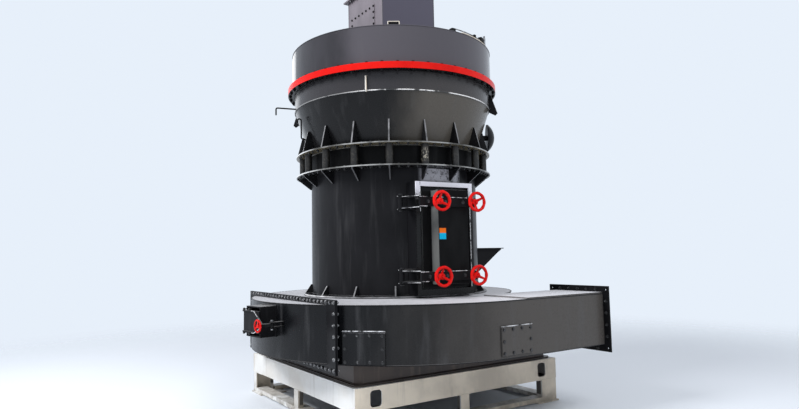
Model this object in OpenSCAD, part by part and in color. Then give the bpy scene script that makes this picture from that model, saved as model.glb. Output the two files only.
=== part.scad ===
// Pendulum roller mill, main unit: grinding body, classifier casing and air volute on a steel base frame.
// Millimetres, +Z up. The origin is on the mill axis at floor level, midway between the four anchor bolts.
// +X points to the mouth of the air duct, and the access door is on the -Y side.

/* [Base frame] */
// Side of the square base frame
frame_w = 2400; // [2380:5:2420]
// Height of the frame top above the floor
frame_h = 436; // [430:1:440]
// Height of the deep upper beams
beam_h = 205; // [200:1:210]
// Height of the floor rails
rail_h = 42; // [38:1:50]
// Thickness of the foot plates
pad_t = 15; // [12:1:20]
// Diameter of the anchor bolt holes
anchor_d = 26; // [22:1:30]

/* [Body] */
// Outer radius of the cylindrical grinding body
body_r = 920; // [910:1:925]
// Wall thickness of the body
body_t = 20; // [16:1:24]
// Outer radius of the bolted ring flanges
flange_r = 1085; // [1080:1:1095]
// Number of ribs, and of sleeves between the two ring flanges
rib_n = 18; // [18:1:18]
// Outside diameter of the sleeves between the ring flanges
sleeve_d = 75; // [60:1:80]

/* [Air volute] */
// Distance from the mill axis to the front wall
volute_front = 1790; // [1785:1:1795]
// Distance from the mill axis to the left end
volute_left = 1610; // [1606:1:1614]
// Distance from the mill axis to the back
volute_back = 1450; // [1445:1:1455]
// Distance from the mill axis to the right end
volute_right = 1340; // [1336:1:1344]
// Radius of the first, widest arc
volute_arc = 1650; // [1646:1:1654]
// Plate thickness of the volute
volute_t = 12; // [10:1:14]
// Distance from the mill axis to the mouth flange
mouth_x = 1265; // [1255:1:1275]
// Clear width of the duct mouth
mouth_w = 586; // [580:1:590]

/* [Access door] */
// Direction that the access door faces, in degrees from +X
door_az = -95; // [-96:1:-94]
// Outer width of the door neck
door_w = 650; // [646:1:654]
// Distance from the mill axis to the front of the door neck
door_front = 1040; // [1036:1:1044]
// Diameter of the large handwheels
wheel_d = 200; // [190:1:204]

/* [Classifier casing] */
// Outer radius of the classifier casing
casing_r = 1122; // [1118:1:1124]
// Outer radius of the red ring flange
band_r = 1173; // [1165:1:1180]
// Outlet box size along X
outlet_x = 690; // [680:2:700]
// Outlet box size along Y
outlet_y = 750; // [740:2:760]

/* [Hidden] */
$fn = 96;
round_fn = 360;
e = 1;

// heights, from the floor up
plinth_z = frame_h;
volute_z = 632;
volute_top = 1127;
body_z = volute_top + 19;
lower_ring_z = 2411;
upper_ring_z = 2632;
cone_top_z = 3130;
band_z = 3319;
casing_z = 3384;
lid_z = 3761;
outlet_top = 4536;

// frame
beam_z = frame_h - beam_h;
beam_d = 110;
corner_w = 205;
corner_d = 80;
post_w = 100;
post_d = 55;
rail_w = 130;
anchor_at = frame_w / 2 - 170;

// radii
ring_t = 12;
neck_r = 945;
sleeve_at = 1012;
cone_r1 = 932;
cone_r2 = 1093;
shell_t = 12;
rib_t = 14;
rib_az = [for (k = [0 : rib_n - 1]) door_az - 10 + 360 / rib_n * k];
foot_az = concat([for (k = [0 : 2]) door_az - 28 - 24 * k], [for (k = [0 : 8]) door_az - 108 - 26 * k]);

// volute: four arcs, tangent to each other, then the straight duct
arc_a = [volute_arc - volute_left, volute_arc - volute_front];
arc_b_r = volute_back - arc_a[1];
arc_b = [arc_b_r - volute_left, arc_a[1]];
arc_c_r = volute_right - arc_b[0];
arc_c = [arc_b[0], volute_back - arc_c_r];
arc_d_r = volute_right - 30;
arc_d = [30, arc_c[1]];
split_x = -1350;
split_y = [arc_a[1] - sqrt(pow(volute_arc, 2) - pow(split_x - arc_a[0], 2)),
    arc_b[1] + sqrt(pow(arc_b_r, 2) - pow(split_x - arc_b[0], 2))];
duct_in = volute_front - 2 * volute_t - mouth_w;
mouth_flange = 70;

// access door: u runs to the right along the door, v straight out from the mill axis
door_shift = 12;
door_z1 = 1150;
door_z2 = 2241;
door_lip = 45;
lip_z1 = 1209;
seat_v = 1004;
panel_w = 524;
panel_z1 = 1227;
panel_z2 = 2150;
panel_v = 1010;
box_w = 330;
box_v = 1180;
strap_z = [1335, 2032];
strap_h = 88;
strap_t = 22;
hinge_u = -472;
hinge_v = 1000;
pin_r = 12;
wheel_u = 198;
wheel_v = 1297;

// inspection door on the left end of the volute: p straight out from the wall, q towards the front
insp_at = [-1610, -320];
insp_az = 189;
insp_p = 154;
insp_q = 125;
insp_z = [828, 1102];
plate_z = [868, 1064];
insp_pin = [95, 225];
insp_arm_z = 945;
insp_screw_q = 197;
insp_wheel_d = 118;

// grinding and classifying parts
ledge_r = 690;
ring_in = 690;
roller_r = 225;
roller_at = ring_in - roller_r - 5;
hang_r = roller_at - 10;
hang_z = 1880;
rotor_r = 620;

// domed cover on the cone: its rim, its outermost point and the ball that it is cut from
port_r = 152;
port_x = 1153;
port_ball = (pow(port_r, 2) + pow(port_x - 1081, 2)) / (2 * (port_x - 1081));

// feed hopper on the +X side
hopper_w = 500;
hopper_x = 1380;
hopper_z = 1605;

paint = [0.13, 0.13, 0.14];
primer = [0.80, 0.79, 0.76];
red = [0.80, 0.07, 0.06];
bare = [0.62, 0.62, 0.63];

// ---------------------------------------------------------------- shared forms

// a flat ring plate
module ring_plate(r_out, r_in, z, t) {
    translate([0, 0, z]) difference() {
        cylinder(r = r_out, h = t, $fn = round_fn);
        translate([0, 0, -e]) cylinder(r = r_in, h = t + 2 * e, $fn = round_fn);
    }
}

// everything within a radius of the mill axis
module core(r) {
    cylinder(r = r, h = 4000, $fn = round_fn);
}

// a rectangle with round corners, cut or raised along Z
module round_rect(w, h, r) {
    square([w - 2 * r, h], center = true);
    square([w, h - 2 * r], center = true);
    for (x = [-1, 1], y = [-1, 1]) translate([x * (w / 2 - r), y * (h / 2 - r)]) circle(r);
}

// a square with cut corners
module cut_square(w, c) {
    a = w / 2;
    b = a - c;
    polygon([[-a, -b], [-b, -a], [b, -a], [a, -b], [a, b], [b, a], [-b, a], [-a, b]]);
}

// an upright plate in a plane through the mill axis, outlined by radius and height
module radial_plate(az, t, outline) {
    rotate([0, 0, az]) translate([0, t / 2, 0]) rotate([90, 0, 0]) linear_extrude(t) polygon(outline);
}

// puts u, v and z of the access door in place
module door_place() {
    rotate([0, 0, door_az]) rotate([0, 0, 90]) mirror([0, 1, 0]) translate([door_shift, 0, 0]) children();
}

// puts p, q and z of the inspection door in place
module insp_place() {
    translate(insp_at) rotate([0, 0, insp_az]) children();
}

// the plan of the volute, its walls moved in by t
module volute_plan(t) {
    intersection() {
        translate(arc_a) circle(volute_arc - t, $fn = round_fn);
        translate([arc_a[0] - 3000, arc_a[1] - 3000]) square(3000);
    }
    intersection() {
        translate(arc_b) circle(arc_b_r - t, $fn = round_fn);
        translate([arc_b[0] - 3000, arc_b[1]]) square(3000);
    }
    intersection() {
        translate(arc_c) circle(arc_c_r - t, $fn = round_fn);
        translate(arc_c) square(3000);
    }
    intersection() {
        translate(arc_d) circle(arc_d_r - t, $fn = round_fn);
        translate([arc_d[0], arc_d[1] - 3000]) square(3000);
    }
    square(900, center = true);
    translate([arc_a[0], -volute_front + t]) square([mouth_x - arc_a[0], volute_front - duct_in - 2 * t]);
}

// the volute as one closed block
module volute_block() {
    translate([0, 0, volute_z]) linear_extrude(volute_top - volute_z) volute_plan(0);
}

// the part of the upright volute wall that stands inside a plan outline
module volute_wall(outline) {
    translate([0, 0, volute_z + volute_t]) linear_extrude(volute_top - volute_z - 2 * volute_t)
        intersection() {
            difference() {
                volute_plan(0);
                volute_plan(volute_t);
                translate([mouth_x - e, -volute_front + volute_t]) square([3 * e, mouth_w]);
            }
            polygon(outline);
        }
}

// a spoked handwheel on its screw, from the origin outwards along +Y to its rim
module handwheel(d, length, screw_r, turn = 30, dished = 0.17) {
    rim = d * 0.064;
    dish = d * dished;
    reach = d / 2 - rim;
    rotate([-90, 0, 0]) {
        cylinder(r = screw_r, h = length - d * 0.06);
        translate([0, 0, length - dish - d * 0.10]) cylinder(r = d * 0.13, h = d * 0.18);
        translate([0, 0, length]) rotate_extrude() translate([reach, 0]) circle(rim, $fn = 32);
        for (k = [0 : 2]) rotate([0, 0, 120 * k + turn]) translate([0, 0, length - dish])
            rotate([0, -atan(dish / reach), 0]) translate([0, -d * 0.055, -d * 0.025])
                cube([norm([reach, dish]), d * 0.11, d * 0.05]);
    }
}

// ---------------------------------------------------------------- base frame

module foot_plates() {
    color(primer) {
        for (x = [-1, 1], y = [-1, 1]) difference() {
            translate([x * (frame_w / 2 - 135), y * (frame_w / 2 - 125), pad_t / 2])
                cube([305, 285, pad_t], center = true);
            translate([x * anchor_at, y * anchor_at, -e]) cylinder(d = anchor_d, h = pad_t + 2 * e);
        }
        for (k = [0 : 3]) rotate([0, 0, 90 * k]) translate([0, -frame_w / 2 + 65, pad_t / 2])
            cube([230, 165, pad_t], center = true);
    }
}

// one flat rectangular tube on each side, from corner post to corner post
module floor_rails() {
    color(primer) for (k = [0 : 3]) rotate([0, 0, 90 * k]) {
        length = frame_w - 2 * (k % 2 == 0 ? corner_w : corner_d);
        translate([-length / 2, -frame_w / 2, pad_t]) difference() {
            cube([length, rail_w, rail_h]);
            translate([-e, 6, 6]) cube([length + 2 * e, rail_w - 12, rail_h - 12]);
        }
    }
}

// an upright channel, centred on x = 0, with the outside of its web on the line y = 0
module channel_post(w, d, t, z) {
    translate([-w / 2, 0, z]) linear_extrude(beam_z - z) difference() {
        square([w, d]);
        translate([t, t]) square([w - 2 * t, d]);
    }
}

// wide ones at the corners with their webs to the front and back, narrow ones on the rails
module frame_posts() {
    a = frame_w / 2;
    color(primer) {
        for (k = [0, 2], x = [-1, 1]) rotate([0, 0, 90 * k]) translate([x * (a - corner_w / 2), -a, 0])
            channel_post(corner_w, corner_d, 11, pad_t);
        for (k = [0 : 3]) rotate([0, 0, 90 * k]) translate([k % 2 == 0 ? -27 : 0, -a, 0])
            channel_post(post_w, post_d, 9, pad_t + rail_h);
    }
}

// a channel beam with its web outside and mitred ends; pierced beams have two handholes
module beam(k, pierced) {
    a = frame_w / 2;
    color(primer) rotate([0, 0, 90 * k]) difference() {
        intersection() {
            translate([-a, -a, beam_z]) difference() {
                cube([frame_w, beam_d, beam_h]);
                translate([-e, 12, 14]) cube([frame_w + 2 * e, beam_d, beam_h - 28]);
            }
            translate([0, 0, beam_z]) linear_extrude(beam_h)
                polygon([[-a, -a], [a, -a], [a - beam_d, -a + beam_d], [-a + beam_d, -a + beam_d]]);
        }
        if (pierced) for (s = [-1, 1]) translate([s * (a - 205), -a + 20, beam_z + beam_h / 2])
            rotate([90, 0, 0]) linear_extrude(40) round_rect(115, 140, 32);
    }
}

module front_and_back_beams() {
    beam(0, true);
    beam(2, true);
}

// the beams of the two sides, and between them two channels that carry the plinth
module side_and_cross_beams() {
    length = frame_w - 2 * beam_d;
    beam(1, false);
    beam(3, false);
    color(primer) for (s = [-1, 1]) translate([s * 520, 0, beam_z]) difference() {
        translate([-50, -length / 2, 0]) cube([100, length, beam_h]);
        translate([s > 0 ? -38 : -62, -length / 2 - e, 14]) cube([100, length + 2 * e, beam_h - 28]);
    }
}

// ---------------------------------------------------------------- plinth and volute

module plinth() {
    color(paint) {
        translate([0, 0, plinth_z]) linear_extrude(16) cut_square(frame_w - 60, 35);
        translate([0, 0, plinth_z + 16]) linear_extrude(volute_z - plinth_z - 16)
            cut_square(frame_w - 110, 60);
    }
}

module volute_floor() {
    color(paint) translate([0, 0, volute_z]) linear_extrude(volute_t) volute_plan(0);
}

module volute_roof() {
    color(paint) translate([0, 0, volute_top - volute_t]) linear_extrude(volute_t) difference() {
        volute_plan(0);
        circle(body_r, $fn = round_fn);
    }
}

module volute_front_wall() {
    color(paint) volute_wall([[split_x, -1900], [mouth_x, -1900], [mouth_x, -1400], [0, -1400],
        [split_x, -800]]);
}

module volute_left_wall() {
    color(paint) difference() {
        volute_wall([[split_x, -1300], [-1800, -1300], [-1800, 1300], [split_x, 1300]]);
        insp_place() translate([-150, 10 - insp_q, insp_z[0] + 10])
            cube([300, 2 * insp_q - 20, insp_z[1] - insp_z[0] - 20]);
    }
}

module volute_back_wall() {
    color(paint) volute_wall([[split_x, 400], [split_x, 1600], [1500, 1600], [1500, arc_c[1]],
        [900, arc_c[1]], [900, 400]]);
}

module volute_right_wall() {
    color(paint) volute_wall([[300, -1400], [1500, -1400], [1500, arc_c[1]], [900, arc_c[1]], [900, -600],
        [300, -1100]]);
}

// the frame round the duct mouth, and the bolted pair where the left part of the volute comes off
module duct_flanges() {
    y1 = -volute_front - mouth_flange;
    y2 = -duct_in + mouth_flange;
    z1 = volute_z - mouth_flange;
    z2 = volute_top + mouth_flange;
    color(paint) difference() {
        translate([mouth_x, y1, z1]) cube([14, y2 - y1, z2 - z1]);
        translate([mouth_x - e, -volute_front + volute_t, volute_z + volute_t])
            cube([14 + 2 * e, mouth_w, volute_top - volute_z - 2 * volute_t]);
        for (y = [y1 + 35, y2 - 35], z = [z1 + 35, z2 - 35])
            translate([mouth_x - e, y, z]) rotate([0, 90, 0]) cylinder(d = 18, h = 14 + 2 * e);
    }
    color(paint) difference() {
        for (x = [split_x - 12, split_x + 2]) translate([x, split_y[0] - 140, volute_z - 75])
            cube([10, split_y[1] - split_y[0] + 278, volute_top - volute_z + 75 + 48]);
        volute_block();
    }
}

// blind covers bolted to the volute wall, which is closed behind them
module cover_plates() {
    color(paint) {
        translate([-94, -volute_front - 12, 660]) cube([360, 12, 245]);
        difference() {
            translate([arc_a[0], arc_a[1], 640]) rotate([0, 0, -136.3])
                translate([volute_arc - 60, -183, 0]) cube([72, 366, 262]);
            translate([arc_a[0], arc_a[1], 600]) cylinder(r = volute_arc, h = 400, $fn = round_fn);
        }
    }
}

// the part of the body inside the volute: twelve wall pieces with slots between them for the air
module air_inlet_ring() {
    z = volute_z + volute_t;
    color(paint) difference() {
        ring_plate(body_r, body_r - body_t, z, volute_top - z);
        for (k = [0 : 11]) rotate([0, 0, 30 * k]) translate([body_r - 60, -80, z - e])
            cube([120, 160, volute_top - z + 2 * e]);
    }
}

// ---------------------------------------------------------------- grinding body

module body_foot_ring() {
    color(paint) {
        ring_plate(1003, ledge_r, volute_top, body_z - volute_top);
        for (az = foot_az) radial_plate(az, rib_t, [[body_r, body_z - e], [995, body_z - e],
            [995, body_z + 4], [body_r + 14, body_z + 96], [body_r, body_z + 96]]);
    }
}

module body_shell() {
    color(paint) difference() {
        ring_plate(body_r, body_r - body_t, body_z, lower_ring_z - ring_t - body_z);
        door_place() translate([-235, 700, 1255]) cube([470, 400, 865]);
        translate([600, -hopper_w / 2 + 12, 1275]) cube([400, hopper_w - 24, 300]);
    }
}

module ring_flanges() {
    color(paint) {
        ring_plate(flange_r, body_r - body_t, lower_ring_z - ring_t, ring_t);
        ring_plate(flange_r, neck_r - body_t, upper_ring_z - ring_t, ring_t);
    }
}

function cone_at(z) = cone_r1 + (cone_r2 - cone_r1) * (z - upper_ring_z) / (cone_top_z - upper_ring_z);

// short ribs under the lower ring, and tall ones that run out on the cone above the upper ring
module flange_ribs() {
    z = lower_ring_z - ring_t;
    tip = upper_ring_z + 230;
    drop = 122;
    color(paint) for (az = rib_az) {
        radial_plate(az, rib_t, [[body_r, z - drop], [body_r + 12, z - drop], [flange_r - 10, z - 8],
            [flange_r - 10, z], [body_r, z]]);
        radial_plate(az, rib_t, [[cone_r1, upper_ring_z], [flange_r - 10, upper_ring_z],
            [flange_r - 10, upper_ring_z + 8], [cone_at(tip) + 12, tip], [cone_at(tip), tip]]);
    }
}

module neck_shell() {
    color(paint) ring_plate(neck_r, neck_r - body_t, lower_ring_z, upper_ring_z - ring_t - lower_ring_z);
}

module ring_sleeves() {
    color(paint) for (az = rib_az) rotate([0, 0, az]) translate([sleeve_at, 0, lower_ring_z])
        cylinder(d = sleeve_d, h = upper_ring_z - ring_t - lower_ring_z);
}

module cone_shell() {
    color(paint) rotate_extrude($fn = round_fn) polygon([[cone_r1, upper_ring_z], [cone_r2, cone_top_z],
        [cone_r2 + 4, cone_top_z], [cone_r2 + 4, band_z], [cone_r2 - shell_t, band_z],
        [cone_r2 - shell_t, cone_top_z], [cone_r1 - shell_t, upper_ring_z]]);
}

module red_ring() {
    color(red) ring_plate(band_r, cone_r2 - shell_t, band_z, casing_z - band_z);
}

module casing_shell() {
    color(paint) ring_plate(casing_r, casing_r - shell_t, casing_z, lid_z - ring_t - casing_z);
}

module casing_lid() {
    color(paint) translate([0, 0, lid_z - ring_t]) difference() {
        cylinder(r = casing_r, h = ring_t, $fn = round_fn);
        translate([0, 0, ring_t / 2]) cube([outlet_x - 20, outlet_y - 20, 3 * ring_t], center = true);
    }
}

// the square gas outlet with its bolted top flange
module outlet_box() {
    color(paint) difference() {
        union() {
            translate([-outlet_x / 2, -outlet_y / 2, lid_z])
                cube([outlet_x, outlet_y, outlet_top - lid_z]);
            translate([-outlet_x / 2 - 45, -outlet_y / 2 - 45, outlet_top - 16])
                cube([outlet_x + 90, outlet_y + 90, 16]);
        }
        translate([-outlet_x / 2 + 10, -outlet_y / 2 + 10, lid_z - e])
            cube([outlet_x - 20, outlet_y - 20, outlet_top]);
        for (x = [-1, 1], y = [-1, 1])
            translate([x * (outlet_x / 2 + 22), y * (outlet_y / 2 + 22), outlet_top - 40])
                cylinder(d = 18, h = 60);
    }
}

// a domed cover on a short stem that stands on the cone
module side_port() {
    z = 2845;
    color(paint) rotate([0, 0, door_az + 60]) difference() {
        translate([0, 0, z]) rotate([0, 90, 0]) rotate_extrude() {
            polygon([[0, 900], [60, 900], [60, 1020], [30, 1030], [30, 1068], [0, 1068]]);
            intersection() {
                translate([0, port_x - port_ball]) circle(port_ball);
                translate([0, 1067]) square([port_r, 200]);
            }
        }
        rotate_extrude($fn = round_fn) polygon([[0, upper_ring_z], [cone_r1, upper_ring_z],
            [cone_r2, cone_top_z], [0, cone_top_z]]);
    }
}

// the feed hopper: two upright cheeks and a sloping back, open at the top
module hopper_side(t) {
    polygon([[800, hopper_z + (t > 0 ? e : 0)], [hopper_x - t, hopper_z + (t > 0 ? e : 0)],
        [hopper_x - t, hopper_z - 15], [800, 1175 + 1.25 * t]]);
}

module feed_hopper() {
    color(paint) difference() {
        union() {
            translate([0, hopper_w / 2, 0]) rotate([90, 0, 0]) linear_extrude(hopper_w) hopper_side(0);
            translate([1000, -hopper_w / 2 - 35, hopper_z - 10]) cube([hopper_x - 990, hopper_w + 70, 10]);
        }
        translate([0, hopper_w / 2 - 10, 0]) rotate([90, 0, 0]) linear_extrude(hopper_w - 20)
            hopper_side(10);
        core(body_r);
    }
}

// ---------------------------------------------------------------- access door

// a box in the door's own directions
module door_cube(u1, u2, v1, v2, z1, z2) {
    translate([u1, v1, z1]) cube([u2 - u1, v2 - v1, z2 - z1]);
}

module door_neck() {
    a = door_w / 2;
    color(paint) door_place() {
        difference() {
            door_cube(-a, a, 700, door_front - 14, door_z1, door_z2);
            door_cube(-a + 14, a - 14, 600, door_front, door_z1 + 14, door_z2 - 14);
            translate([-door_shift, 0, 0]) core(body_r);
        }
        difference() {
            door_cube(-a + 14, a - 14, seat_v - 14, seat_v, door_z1 + 14, door_z2 - 14);
            door_cube(-225, 225, 600, door_front, lip_z1 + 56, 2110);
        }
    }
}

module door_lip_frame() {
    a = door_w / 2;
    color(bare) door_place() difference() {
        door_cube(-a, a, door_front - 14, door_front, door_z1, door_z2);
        door_cube(-a + door_lip, a - door_lip, 600, 1100, lip_z1, door_z2 - door_lip);
    }
}

// two pairs of bracket plates on the side of the door neck that hold the hinge pins
module hinge_brackets() {
    color(paint) door_place() for (z = strap_z) {
        for (s = [-1, 1]) translate([0, 0, z + s * 62 - 6]) linear_extrude(12) {
            polygon([[-door_w / 2, 900], [-door_w / 2, 1022], [hinge_u + 20, hinge_v + 20],
                [hinge_u - 20, hinge_v - 20]]);
            translate([hinge_u, hinge_v]) circle(28);
        }
        translate([hinge_u, hinge_v, z - 76]) cylinder(r = pin_r, h = 148);
        translate([hinge_u, hinge_v, z + 68]) cylinder(r = 18, h = 8);
    }
}

// the door leaf with the insulated box on its outside and the bosses that the screws press on
module door_panel() {
    color(paint) door_place() {
        door_cube(-panel_w / 2, panel_w / 2, panel_v, door_front, panel_z1, panel_z2);
        door_cube(-box_w / 2, box_w / 2, door_front - e, box_v, panel_z1 + 30, panel_z2);
        for (z = strap_z, s = [-1, 1]) translate([s * wheel_u, door_front - e, z]) rotate([-90, 0, 0])
            cylinder(r = 24, h = 21);
    }
}

// two straps across the door, each with a cranked arm back to its hinge eye
module door_straps() {
    color(paint) door_place() for (z = strap_z) {
        difference() {
            union() {
                door_cube(-380, 250, box_v, box_v + strap_t, z - strap_h / 2, z + strap_h / 2);
                for (s = [-1, 1]) translate([0, 0, z + s * 47 - 6]) linear_extrude(12) {
                    polygon([[hinge_u - 20, hinge_v + 18], [hinge_u + 20, hinge_v - 18],
                        [-330, box_v - 8], [-330, box_v + strap_t], [-385, box_v + strap_t]]);
                    translate([hinge_u, hinge_v]) circle(27);
                }
                translate([hinge_u, hinge_v, z - 53]) cylinder(r = 24, h = 106);
            }
            translate([hinge_u, hinge_v, z - 60]) cylinder(r = pin_r + 0.5, h = 120);
            for (s = [-1, 1]) translate([s * wheel_u, box_v - e, z]) rotate([-90, 0, 0])
                cylinder(r = 13, h = strap_t + 2 * e);
        }
    }
}

module door_wheel(s, i, turn = 30) {
    color(red) door_place() translate([s * wheel_u, door_front + 21, strap_z[i]])
        handwheel(wheel_d, wheel_v - door_front - 21, 11, turn);
}

module upper_left_wheel() { door_wheel(-1, 1); }
module upper_right_wheel() { door_wheel(1, 1, 90); }
module lower_left_wheel() { door_wheel(-1, 0); }
module lower_right_wheel() { door_wheel(1, 0); }

// ---------------------------------------------------------------- inspection door

// a short box through the volute wall, and beside it the two lugs with the hinge pin
module inspection_box() {
    w = 2 * insp_q;
    h = insp_z[1] - insp_z[0];
    color(paint) {
        difference() {
            insp_place() translate([-110, -insp_q, insp_z[0]]) difference() {
                cube([110 + insp_p, w, h]);
                translate([-e, 10, 10]) cube([400, w - 20, h - 20]);
            }
            translate([0, 0, 600]) linear_extrude(600) volute_plan(0);
        }
        difference() {
            insp_place() for (s = [-1, 1]) translate([-60, insp_pin[1] - 20, insp_arm_z + s * 20 - 5])
                cube([78 + insp_pin[0], 40, 10]);
            translate([0, 0, 600]) linear_extrude(600) volute_plan(0);
        }
        insp_place() translate([insp_pin[0], insp_pin[1], insp_arm_z - 34]) cylinder(r = 7, h = 68);
    }
}

// one leg of the fork, from the screw to the edge of the cover plate at height z
module strap_leg(z, inward) {
    polygon([[180, insp_arm_z], [208, insp_arm_z - inward * 8], [60, z], [20, z], [20, z + inward * 14],
        [46, z + inward * 14]]);
}

// the cover plate, and the forked strap from its hinge eye to the top and bottom of the plate
module inspection_door() {
    color(paint) insp_place() difference() {
        union() {
            translate([insp_p + 6, -insp_q - 20, plate_z[0]])
                cube([12, 2 * insp_q + 25, plate_z[1] - plate_z[0]]);
            for (z = [plate_z[0], plate_z[1] - 12]) translate([insp_p + 17, -insp_q - 20, z])
                cube([13, insp_q + 70, 12]);
            translate([insp_p + 17, 0, 0]) rotate([90, 0, 90]) linear_extrude(13) {
                strap_leg(plate_z[1], -1);
                strap_leg(plate_z[0], 1);
            }
            translate([0, 0, insp_arm_z - 13]) linear_extrude(26) {
                polygon([[insp_pin[0], insp_pin[1] - 16], [insp_p - 8, 180], [insp_p + 36, 174],
                    [insp_p + 36, 220], [insp_p + 10, 222], [insp_pin[0], insp_pin[1] + 16]]);
                translate(insp_pin) circle(16);
            }
        }
        translate([insp_pin[0], insp_pin[1], insp_arm_z - 40]) cylinder(r = 7.5, h = 80);
        translate([100, insp_screw_q, insp_arm_z]) rotate([0, 90, 0]) cylinder(r = 8, h = 200);
    }
}

module inspection_wheel() {
    color(red) insp_place() translate([insp_p - 14, insp_screw_q, insp_arm_z]) rotate([0, 0, -90])
        handwheel(insp_wheel_d, 80, 7, dished = 0.05);
}

// ---------------------------------------------------------------- grinding and classifying parts

// stepped grinding ring on the ledge of the foot ring
module grinding_ring() {
    color(bare) rotate_extrude($fn = round_fn) polygon([[ring_in, body_z], [ring_in + 110, body_z],
        [ring_in + 110, body_z + 250], [ring_in + 30, body_z + 250], [ring_in + 30, body_z + 130],
        [ring_in, body_z + 110]]);
}

// bearing housing, shaft and the spider with four forks that carries the rollers
module main_shaft() {
    z0 = volute_z + volute_t;
    color(bare) {
        rotate_extrude() polygon([[0, z0], [360, z0], [360, z0 + 30], [280, z0 + 60], [150, 1060],
            [150, 1500], [90, 1520], [90, hang_z - 130], [230, hang_z - 130], [230, hang_z + 110],
            [180, hang_z + 150], [0, hang_z + 150]]);
        for (k = [0 : 3]) rotate([0, 0, 90 * k + 45]) for (s = [-1, 1])
            translate([150, s * 100 - 20, hang_z - 70]) cube([hang_r - 150, 40, 140]);
        for (k = [0 : 3]) rotate([0, 0, 90 * k + 45]) for (s = [-1, 1])
            translate([hang_r, s * 100 + 20, hang_z]) rotate([90, 0, 0]) cylinder(r = 70, h = 40);
    }
}

// four pendulums: pin, hanger and stepped roller
module grinding_rollers() {
    z = body_z + 4;
    color(bare) for (k = [0 : 3]) rotate([0, 0, 90 * k + 45]) {
        translate([roller_at, 0, 0]) rotate_extrude() polygon([[0, z], [roller_r, z], [roller_r, z + 108],
            [roller_r + 30, z + 130], [roller_r + 30, z + 240], [130, z + 240], [95, z + 300],
            [95, hang_z - 90], [0, hang_z - 90]]);
        translate([hang_r - 70, -75, hang_z - 100]) cube([140, 150, 100]);
        translate([hang_r, 75, hang_z]) rotate([90, 0, 0]) cylinder(r = 70, h = 150);
    }
}

// cage of upright blades round a cone
module classifier_rotor() {
    color(bare) {
        for (z = [3290, 3640]) ring_plate(rotor_r, rotor_r - 90, z, 20);
        translate([0, 0, 3290]) cylinder(r = rotor_r - 91, h = 9);
        translate([0, 0, 3298]) cylinder(r1 = 380, r2 = 90, h = 302);
        translate([0, 0, 3298]) cylinder(r = 70, h = 371);
        for (k = [0 : 35]) rotate([0, 0, 10 * k]) translate([rotor_r - 70, 0, 3300]) rotate([0, 0, 25])
            translate([-30, -4, 0]) cube([60, 8, 350]);
    }
}

// the beam across the casing that the classifier hangs from
module classifier_beam() {
    color(bare) translate([0, 0, 3669]) intersection() {
        translate([-1200, -60, 0]) cube([2400, 120, 80]);
        cylinder(r = casing_r - shell_t, h = 80, $fn = round_fn);
    }
}

foot_plates();
floor_rails();
frame_posts();
front_and_back_beams();
side_and_cross_beams();
plinth();
volute_floor();
volute_roof();
volute_front_wall();
volute_left_wall();
volute_back_wall();
volute_right_wall();
duct_flanges();
cover_plates();
air_inlet_ring();
body_foot_ring();
body_shell();
ring_flanges();
flange_ribs();
neck_shell();
ring_sleeves();
cone_shell();
red_ring();
casing_shell();
casing_lid();
outlet_box();
side_port();
feed_hopper();
door_neck();
door_lip_frame();
hinge_brackets();
door_panel();
door_straps();
upper_left_wheel();
upper_right_wheel();
lower_left_wheel();
lower_right_wheel();
inspection_box();
inspection_door();
inspection_wheel();
grinding_ring();
main_shaft();
grinding_rollers();
classifier_rotor();
classifier_beam();
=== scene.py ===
# Pendulum roller mill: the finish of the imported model. Metres, in the model's own frame: +Z up the mill axis,
# +X to the duct mouth, -Y to the access door. Each section dresses one group of the mill's pieces, from the
# floor up, and the shapes are surfaces worked out with numpy.
from math import cos, pi, radians, sin

import bmesh
import bpy
import numpy as np
from mathutils import Matrix, Vector


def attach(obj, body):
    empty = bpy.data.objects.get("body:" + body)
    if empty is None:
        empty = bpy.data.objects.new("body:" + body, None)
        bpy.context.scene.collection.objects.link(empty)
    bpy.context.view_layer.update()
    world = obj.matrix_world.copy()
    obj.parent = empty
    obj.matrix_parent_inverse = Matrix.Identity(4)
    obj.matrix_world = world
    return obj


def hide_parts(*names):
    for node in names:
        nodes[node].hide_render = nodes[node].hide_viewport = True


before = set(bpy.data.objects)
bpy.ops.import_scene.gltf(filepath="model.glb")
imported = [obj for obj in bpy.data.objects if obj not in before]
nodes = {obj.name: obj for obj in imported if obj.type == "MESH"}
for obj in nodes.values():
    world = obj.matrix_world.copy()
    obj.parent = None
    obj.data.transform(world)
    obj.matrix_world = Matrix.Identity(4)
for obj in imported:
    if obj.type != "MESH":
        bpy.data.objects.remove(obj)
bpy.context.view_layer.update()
scene = bpy.context.scene

# ---- Camera: a standing person's eye, in front of the mill and round to its left. It is turned and tilted a
# little and looks slightly up.
eye = Vector((-3.643, -5.609, 1.532))
round_left = radians(33.0)
turn, lift, tilt = radians(0.54), radians(4.94), radians(-1.11)


def from_viewer(x, y, z):
    """A direction given by right, ahead and up of a viewer who faces the mill axis, in the model's frame."""
    return Vector((cos(round_left) * x + sin(round_left) * y, -sin(round_left) * x + cos(round_left) * y, z))


ahead = from_viewer(sin(turn) * cos(lift), cos(turn) * cos(lift), sin(lift))
level = from_viewer(cos(turn), -sin(turn), 0)
upright = level.cross(ahead)
right = level * cos(tilt) + upright * sin(tilt)
up = upright * cos(tilt) - level * sin(tilt)
lens = bpy.data.cameras.new("camera")
lens.lens = 26.72
lens.sensor_width = 36.0
lens.clip_end = 200.0
camera = bpy.data.objects.new("camera", lens)
camera.matrix_world = Matrix((right, up, -ahead)).transposed().to_4x4()
camera.location = eye
scene.collection.objects.link(camera)
scene.camera = camera


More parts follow.
